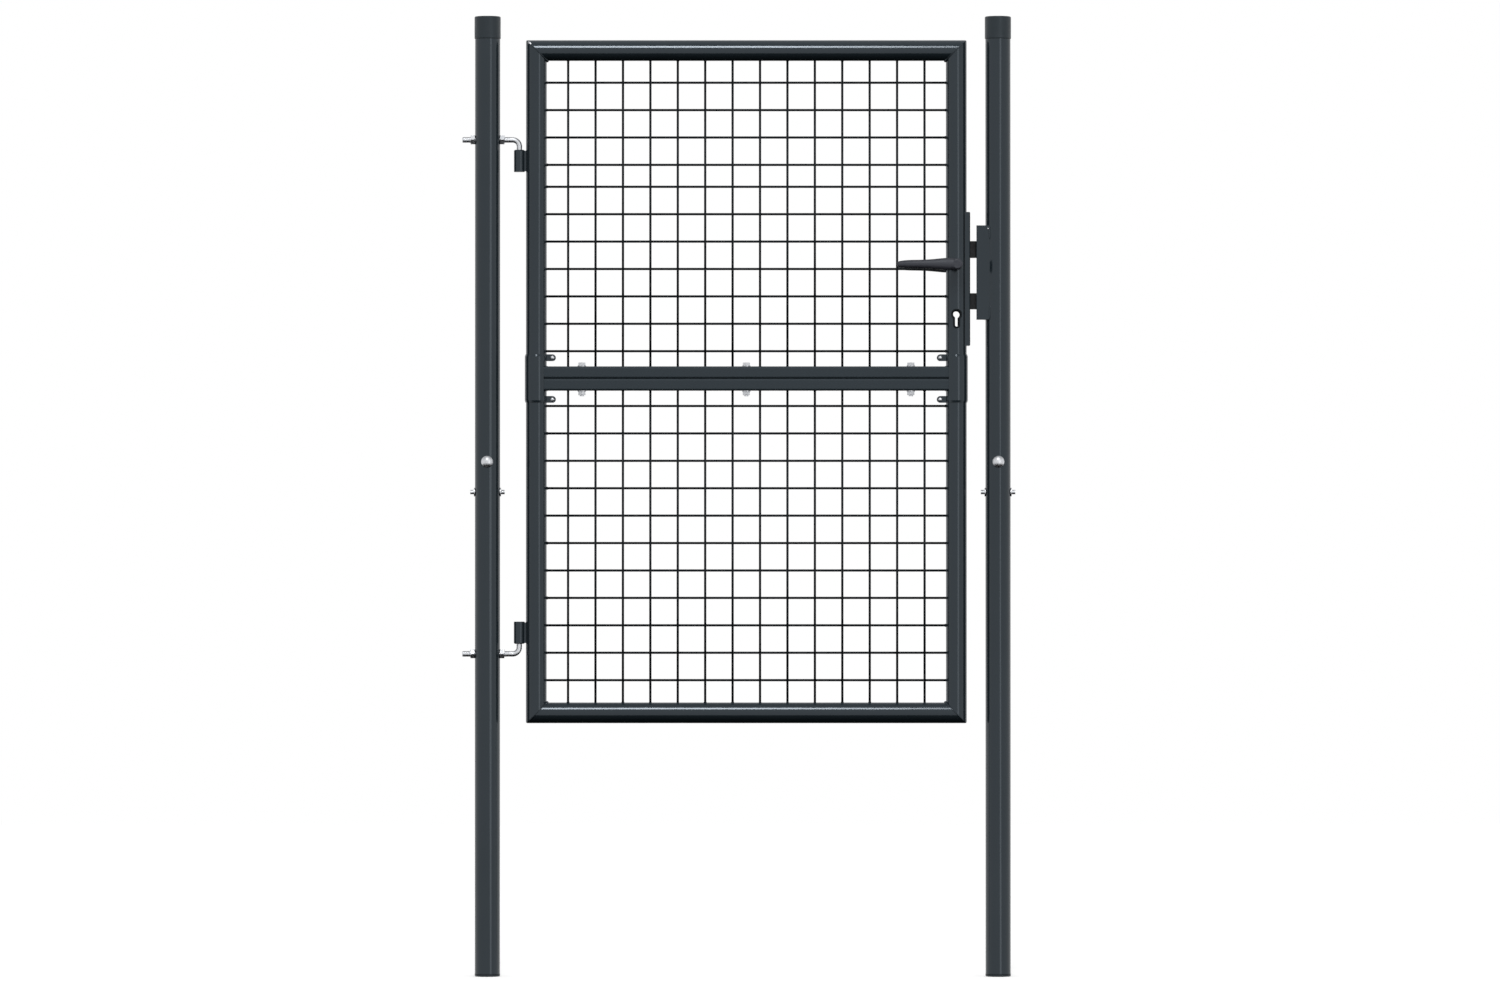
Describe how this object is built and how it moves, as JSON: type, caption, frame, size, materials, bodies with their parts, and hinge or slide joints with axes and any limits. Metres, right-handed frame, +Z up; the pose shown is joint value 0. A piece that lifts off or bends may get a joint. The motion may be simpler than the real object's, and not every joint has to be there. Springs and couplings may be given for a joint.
{
  "type": "mesh garden gate",
  "caption": "Single-leaf garden gate of round steel tube with welded wire mesh, hung between two posts, with hinges, lever handles, latch, dead bolt and keeper.",
  "frame": {"origin": "centre of the underside of the hinge post's foot", "axes": "+X from the hinge post to the lock post, +Y away from the front of the gate, +Z up along the posts"},
  "size_m": [1.0084, 0.1244, 1.75],
  "materials": {
    "coated_steel": "anthracite powder coat, satin",
    "coated_mesh": "anthracite powder coat on wire",
    "zinc": "bright zinc plating",
    "lock_steel": "dark plated steel",
    "cap_plastic": "matt moulded plastic",
    "lever_plastic": "black fine-grained moulded plastic"
  },
  "bodies": {
    "posts": {"hinge_post": "coated_steel", "lock_post": "coated_steel", "hinge_post_cap": "cap_plastic", "lock_post_cap": "cap_plastic", "hinge_post_foot": "cap_plastic", "lock_post_foot": "cap_plastic", "hinge_post_bolts": "zinc", "lock_post_bolts": "zinc", "upper_hinge_pin": "zinc", "lower_hinge_pin": "zinc", "hinge_pin_nuts": "zinc", "keeper": "coated_steel"},
    "leaf": {"top_rail": "coated_steel", "bottom_rail": "coated_steel", "upper_left_stile": "coated_steel", "lower_left_stile": "coated_steel", "upper_right_stile": "coated_steel", "lower_right_stile": "coated_steel", "upper_mid_rail": "coated_steel", "lower_mid_rail": "coated_steel", "upper_mesh": "coated_mesh", "lower_mesh": "coated_mesh", "rail_bolts": "zinc", "left_sleeve": "coated_steel", "right_sleeve": "coated_steel", "left_sleeve_screws": "zinc", "right_sleeve_screws": "zinc", "upper_hinge_barrel": "coated_steel", "lower_hinge_barrel": "coated_steel", "lock_box": "coated_steel", "lock_case": "lock_steel", "faceplate": "lock_steel"},
    "handle": {"front_lever": "lever_plastic", "back_lever": "lever_plastic", "spindle": "lock_steel"},
    "latch": {"latch_bolt": "lock_steel"},
    "deadbolt": {"dead_bolt": "lock_steel"}
  },
  "joints": [
    {"name": "leaf_swing", "type": "hinge", "parent": "posts", "child": "leaf", "pos_m": [0.058, 0, 0], "axis": [0, 0, 1], "range_deg": [0, 100]},
    {"name": "handle_turn", "type": "hinge", "parent": "leaf", "child": "handle", "pos_m": [0.855, 0, 1.2963], "axis": [0, -1, 0], "range_deg": [0, 40], "stiffness_Nm_per_rad": 0.6, "springref_deg": -28.65},
    {"name": "latch_slide", "type": "slide", "parent": "leaf", "child": "latch", "axis": [-1, 0, 0], "range_m": [0, 0.018]},
    {"name": "dead_bolt_slide", "type": "slide", "parent": "leaf", "child": "deadbolt", "axis": [-1, 0, 0], "range_m": [0, 0.019]}
  ],
  "couplings": [
    {"joint": "latch_slide", "follows": "handle_turn", "m_per_rad": 0.02578}
  ]
}
